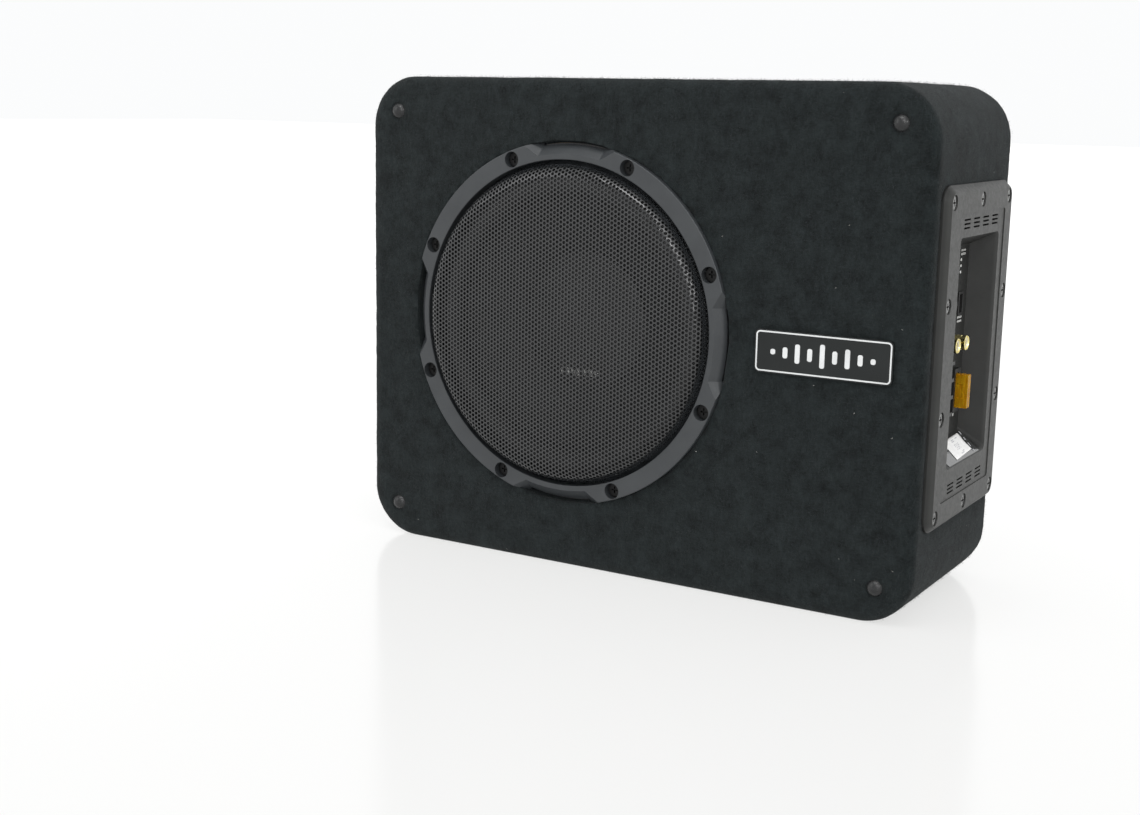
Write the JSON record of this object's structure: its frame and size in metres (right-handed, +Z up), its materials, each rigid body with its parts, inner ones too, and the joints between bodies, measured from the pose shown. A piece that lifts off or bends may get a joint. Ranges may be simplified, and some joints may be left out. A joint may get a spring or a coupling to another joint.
{
  "type": "powered car subwoofer",
  "caption": "Shallow carpeted active bass box with a grille-covered driver in front and a recessed amplifier panel with signal jacks, fuse and terminals on one side.",
  "frame": {"origin": "centre of the cabinet's bottom face, where it stands", "axes": "+Z up; the driver and grille face -Y; the amplifier panel is on the +X side"},
  "size_m": [0.369, 0.1396, 0.29],
  "materials": {
    "carpet": "needle-punched charcoal felt carpet, fuzzy",
    "fibreboard": "raw medium-density fibreboard",
    "wadding": "loose polyester wadding",
    "black_plastic": "fine-grained black moulding",
    "ring_plastic": "satin dark grey moulding",
    "panel_plastic": "satin grey moulding",
    "grille_metal": "perforated steel, satin black powder coat",
    "black_screw": "black zinc",
    "nickel_screw": "bright nickel plate",
    "stamped_steel": "black epoxy paint",
    "motor_steel": "zinc-plated steel",
    "ferrite": "dark ground ferrite",
    "cone_paper": "coated black pulp",
    "cap_plastic": "black moulded cap",
    "surround_rubber": "matt black rubber",
    "spider_cloth": "resin-treated woven cloth",
    "former_paper": "brown former paper",
    "copper_wire": "enamelled copper winding",
    "lead_wire": "insulated wire",
    "foam_gasket": "closed-cell foam strip",
    "badge_black": "gloss black",
    "badge_white": "white print, raised",
    "board_green": "solder-masked glass epoxy",
    "heatsink_alloy": "extruded, plain",
    "part_black": "moulded epoxy",
    "capacitor_sleeve": "dark shrink sleeve",
    "gold_plate": "gold-plated brass",
    "jack_insulator": "ivory insulator",
    "fuse_amber": "clear amber body",
    "tin_plate": "tin plate",
    "led_lens": "clear lens",
    "label_film": "glossy grey film",
    "sticker_white": "white paper label"
  },
  "bodies": {
    "cabinet": {"top_board": "fibreboard", "bottom_board": "fibreboard", "left_board": "fibreboard", "right_board": "fibreboard", "corner_posts": "fibreboard", "front_baffle": "fibreboard", "back_board": "fibreboard", "carpet_front": "carpet", "carpet_back": "carpet", "carpet_wrap": "carpet", "carpet_underside": "carpet", "corner_plugs": "black_plastic", "damping_pads": "wadding", "driver_basket": "stamped_steel", "driver_gasket": "foam_gasket", "surround": "surround_rubber", "spider": "spider_cloth", "top_plate": "motor_steel", "magnet": "ferrite", "yoke": "motor_steel", "terminal_strip": "part_black", "driver_tabs": "tin_plate", "tinsel_leads": "copper_wire", "driver_leads": "lead_wire", "grille_ring": "ring_plastic", "grille_mesh": "grille_metal", "grille_screws": "black_screw", "badge_plate": "badge_black", "badge_inlay": "badge_white", "amp_panel": "panel_plastic", "panel_gasket": "foam_gasket", "panel_screws": "nickel_screw", "circuit_board": "board_green", "board_screws": "black_screw", "heatsink": "heatsink_alloy", "power_transistors": "part_black", "filter_capacitors": "capacitor_sleeve", "power_toroid": "copper_wire", "rca_shells": "gold_plate", "rca_insulators": "jack_insulator", "connector_contacts": "gold_plate", "fuse_holder": "part_black", "fuse_body": "fuse_amber", "fuse_blades": "tin_plate", "power_terminal_block": "part_black", "terminal_screws": "nickel_screw", "speaker_input_socket": "part_black", "remote_level_socket": "part_black", "potentiometers": "part_black", "switch_housing": "part_black", "power_led": "led_lens", "rating_label": "label_film", "white_sticker": "sticker_white"},
    "cone_assembly": {"cone": "cone_paper", "dust_cap": "cap_plastic", "voice_coil_former": "former_paper", "voice_coil": "copper_wire"},
    "gain_knob_body": {"gain_knob": "black_plastic"},
    "crossover_knob_body": {"crossover_knob": "black_plastic"},
    "phase_switch_body": {"phase_switch": "black_plastic"}
  },
  "joints": [
    {"name": "cone_travel", "type": "slide", "parent": "cabinet", "child": "cone_assembly", "axis": [0, 1, 0], "range_m": [-0.0065, 0.0065], "stiffness_N_per_m": 2500, "deforming": ["surround", "spider", "tinsel_leads"]},
    {"name": "gain_turn", "type": "hinge", "parent": "cabinet", "child": "gain_knob_body", "pos_m": [0.1729, -0.014, 0.191], "axis": [1, 0, 0], "range_deg": [-140, 140]},
    {"name": "crossover_turn", "type": "hinge", "parent": "cabinet", "child": "crossover_knob_body", "pos_m": [0.1729, -0.014, 0.171], "axis": [1, 0, 0], "range_deg": [-140, 140]},
    {"name": "phase_slide", "type": "slide", "parent": "cabinet", "child": "phase_switch_body", "axis": [0, 0, 1], "range_m": [0, 0.002]}
  ]
}
